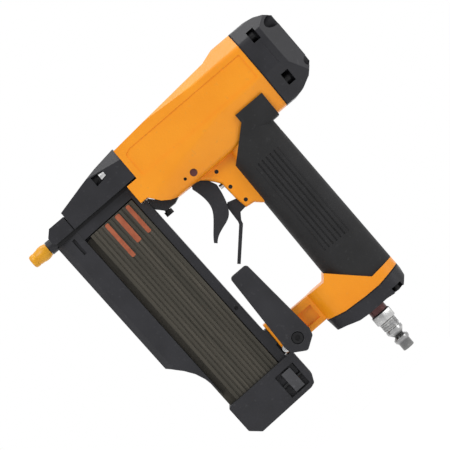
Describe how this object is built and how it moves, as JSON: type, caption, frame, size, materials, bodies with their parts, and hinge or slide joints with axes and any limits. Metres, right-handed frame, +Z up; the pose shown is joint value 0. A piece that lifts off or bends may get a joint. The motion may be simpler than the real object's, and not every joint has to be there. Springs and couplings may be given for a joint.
{
  "type": "pneumatic pin nailer",
  "caption": "Pistol-shaped pneumatic pin nailer with a two-lever trigger, side magazine, rubber grip, belt hook, no-mar tip and threaded air plug.",
  "frame": {"origin": "centre of the free end of the air plug, at the foot of the handle", "axes": "+Z up along the handle towards the barrel, -X along the drive axis towards the nose, Y across the tool with the belt hook on the -Y side"},
  "size_m": [0.2013, 0.0484, 0.2085],
  "materials": {
    "painted_casting": "satin yellow-orange enamel on cast aluminium",
    "black_rubber": "matt moulded rubber",
    "black_casting": "satin black coating on cast aluminium",
    "black_plastic": "fine-textured black plastic",
    "ribbed_cover": "dark anodised ribbed aluminium",
    "steel": "ground steel",
    "plated_steel": "bright zinc plated steel",
    "dark_steel": "blackened steel",
    "aluminium": "machined aluminium",
    "red_brown": "dark red-brown anodised aluminium",
    "yellow_rubber": "soft yellow rubber",
    "grey_latch": "grey plastic",
    "seal_rubber": "black seal rubber",
    "gasket_fibre": "black gasket sheet"
  },
  "bodies": {
    "tool": {"housing": "painted_casting", "grip_sleeve": "black_rubber", "rear_cap_gasket": "gasket_fibre", "rear_cap": "black_casting", "rear_cap_screws": "dark_steel", "head_valve_spring": "steel", "cylinder_sleeve": "aluminium", "cylinder_seals": "seal_rubber", "bumper": "seal_rubber", "trigger_pin": "red_brown", "valve_pin": "dark_steel", "spring_pins": "dark_steel", "safety_lever_pin": "dark_steel", "safety_lever_spring": "steel", "trigger_valve_body": "aluminium", "trigger_valve_seals": "seal_rubber", "trigger_valve_spring": "steel", "trigger_valve_cap": "aluminium", "end_cap_gasket": "gasket_fibre", "end_cap": "black_casting", "end_cap_screws": "dark_steel", "exhaust_tube": "aluminium", "inlet_bushing": "red_brown", "air_plug": "plated_steel", "driver_guide": "dark_steel", "nose_cover": "black_casting", "nose_screws": "plated_steel", "tip_holder": "black_casting", "tip_screws": "plated_steel", "magazine_rail": "black_casting", "magazine_guard": "black_plastic", "stop_screw": "dark_steel", "guide_screws": "dark_steel", "front_bracket": "black_casting", "bracket_bolt": "dark_steel", "rear_bracket": "black_casting", "bracket_screws": "plated_steel", "hook_screw": "dark_steel", "hook_washer": "plated_steel"},
    "driver": {"piston": "aluminium", "piston_ring": "seal_rubber", "driver_blade": "steel", "blade_pin": "steel"},
    "head_valve": {"head_valve": "black_plastic", "head_valve_ring": "seal_rubber"},
    "trigger": {"trigger": "black_plastic"},
    "valve_stem": {"trigger_valve_stem": "plated_steel"},
    "safety_lever": {"safety_lever": "black_casting"},
    "sliding_magazine": {"magazine_cover": "ribbed_cover", "magazine_end_block": "black_plastic", "latch_pin": "steel", "latch_spring": "steel", "pusher_rod": "steel", "pusher_spring": "steel"},
    "latch": {"magazine_latch": "grey_latch"},
    "pusher": {"pusher": "black_plastic"},
    "belt_hook": {"belt_hook": "black_plastic"},
    "no_mar_tip": {"no_mar_tip": "yellow_rubber"}
  },
  "joints": [
    {"name": "trigger_pull", "type": "hinge", "parent": "tool", "child": "trigger", "pos_m": [-0.03, 0, 0.1605], "axis": [0, -1, 0], "range_deg": [0, 7], "stiffness_Nm_per_rad": 0.4, "springref_deg": -17.19},
    {"name": "valve_stem_slide", "type": "slide", "parent": "tool", "child": "valve_stem", "axis": [1, 0, 0], "range_m": [0, 0.002], "deforming": ["trigger_valve_spring"]},
    {"name": "safety_lever_squeeze", "type": "hinge", "parent": "tool", "child": "safety_lever", "pos_m": [-0.017, 0, 0.1288], "axis": [0, -1, 0], "range_deg": [0, 18], "stiffness_Nm_per_rad": 0.05, "springref_deg": -22.92, "deforming": ["safety_lever_spring"]},
    {"name": "piston_stroke", "type": "slide", "parent": "tool", "child": "driver", "axis": [-1, 0, 0], "range_m": [0, 0.066]},
    {"name": "head_valve_lift", "type": "slide", "parent": "tool", "child": "head_valve", "axis": [1, 0, 0], "range_m": [0, 0.003], "stiffness_N_per_m": 800, "springref_m": -0.003, "deforming": ["head_valve_spring"]},
    {"name": "magazine_slide", "type": "slide", "parent": "tool", "child": "sliding_magazine", "axis": [0.0244, 0, -0.9997], "range_m": [0, 0.1]},
    {"name": "latch_press", "type": "hinge", "parent": "sliding_magazine", "child": "latch", "pos_m": [-0.06449, -0.0106, 0.03043], "axis": [0.9997, 0, 0.0244], "range_deg": [0, 12], "stiffness_Nm_per_rad": 0.05, "springref_deg": -28.65, "deforming": ["latch_spring"]},
    {"name": "pusher_feed", "type": "slide", "parent": "sliding_magazine", "child": "pusher", "axis": [0.0244, 0, -0.9997], "range_m": [0, 0.09], "stiffness_N_per_m": 25, "springref_m": -0.12, "deforming": ["pusher_spring"]},
    {"name": "belt_hook_turn", "type": "hinge", "parent": "tool", "child": "belt_hook", "pos_m": [-0.0465, 0, 0.048], "axis": [0, -1, 0], "range_deg": [-90, 90]},
    {"name": "no_mar_tip_pull", "type": "slide", "parent": "tool", "child": "no_mar_tip", "axis": [-1, 0, 0], "range_m": [0, 0.012]}
  ],
  "couplings": [
    {"joint": "valve_stem_slide", "follows": "trigger_pull", "m_per_rad": 0.0161}
  ]
}
